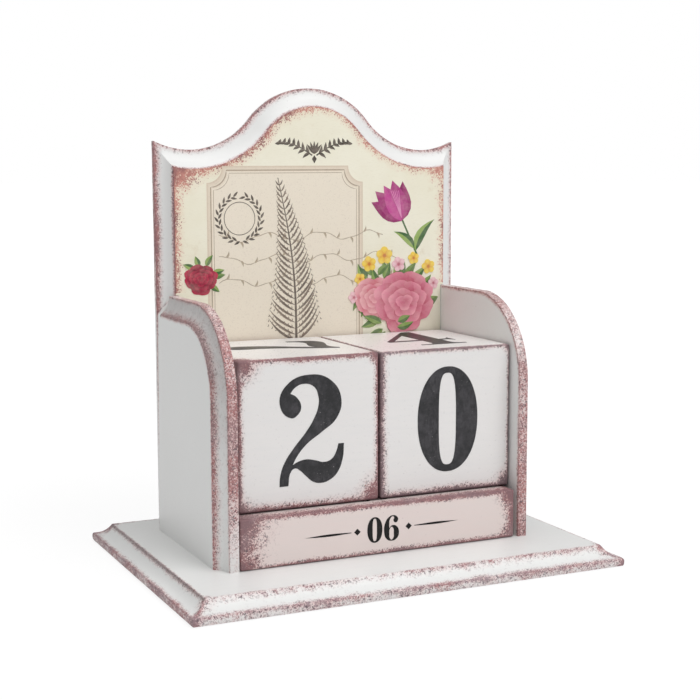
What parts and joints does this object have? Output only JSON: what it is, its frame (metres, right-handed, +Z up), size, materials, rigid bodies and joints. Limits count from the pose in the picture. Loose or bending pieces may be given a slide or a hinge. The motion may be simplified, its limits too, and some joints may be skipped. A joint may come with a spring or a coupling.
{
  "type": "perpetual block calendar",
  "caption": "Wooden desk calendar: digit cubes on month bars in a bay with side panels, a bonnet-topped back and a moulded base.",
  "frame": {"origin": "centre of the base board's underside, on the surface that the calendar stands on", "axes": "+Z up, -Y towards the reader (the front), +X to the reader's right; the height is the longest side"},
  "size_m": [0.185, 0.135, 0.195],
  "materials": {
    "painted_board": "satin white paint over board, edges rubbed back to a dusty rose undercoat",
    "painted_cube": "satin white paint with rubbed rose edges and painted charcoal numerals",
    "painted_bar": "pale pink satin paint with rubbed rose edges and painted charcoal numerals",
    "printed_paper": "printed paper glued down and varnished",
    "zinc_steel": "zinc plated"
  },
  "bodies": {
    "stand": {"base_board": "painted_board", "left_side_panel": "painted_board", "right_side_panel": "painted_board", "back_panel": "painted_board", "decor_sheet": "printed_paper", "base_screws": "zinc_steel", "back_pins": "zinc_steel"},
    "left_cube": {"left_digit_cube": "painted_cube"},
    "right_cube": {"right_digit_cube": "painted_cube"},
    "rear_bar": {"month_bar_rear": "painted_bar"},
    "middle_bar": {"month_bar_middle": "painted_bar"},
    "front_bar": {"month_bar_front": "painted_bar"}
  },
  "joints": [
    {"name": "left_cube_lift", "type": "slide", "parent": "stand", "child": "left_cube", "axis": [0, 0, 1], "range_m": [0, 0.085]},
    {"name": "right_cube_lift", "type": "slide", "parent": "stand", "child": "right_cube", "axis": [0, 0, 1], "range_m": [0, 0.085]},
    {"name": "rear_bar_slide", "type": "slide", "parent": "stand", "child": "rear_bar", "axis": [0, -1, 0], "range_m": [0, 0.062]},
    {"name": "middle_bar_slide", "type": "slide", "parent": "rear_bar", "child": "middle_bar", "axis": [0, -1, 0], "range_m": [0, 0.042]},
    {"name": "front_bar_slide", "type": "slide", "parent": "middle_bar", "child": "front_bar", "axis": [0, -1, 0], "range_m": [0, 0.022]}
  ]
}
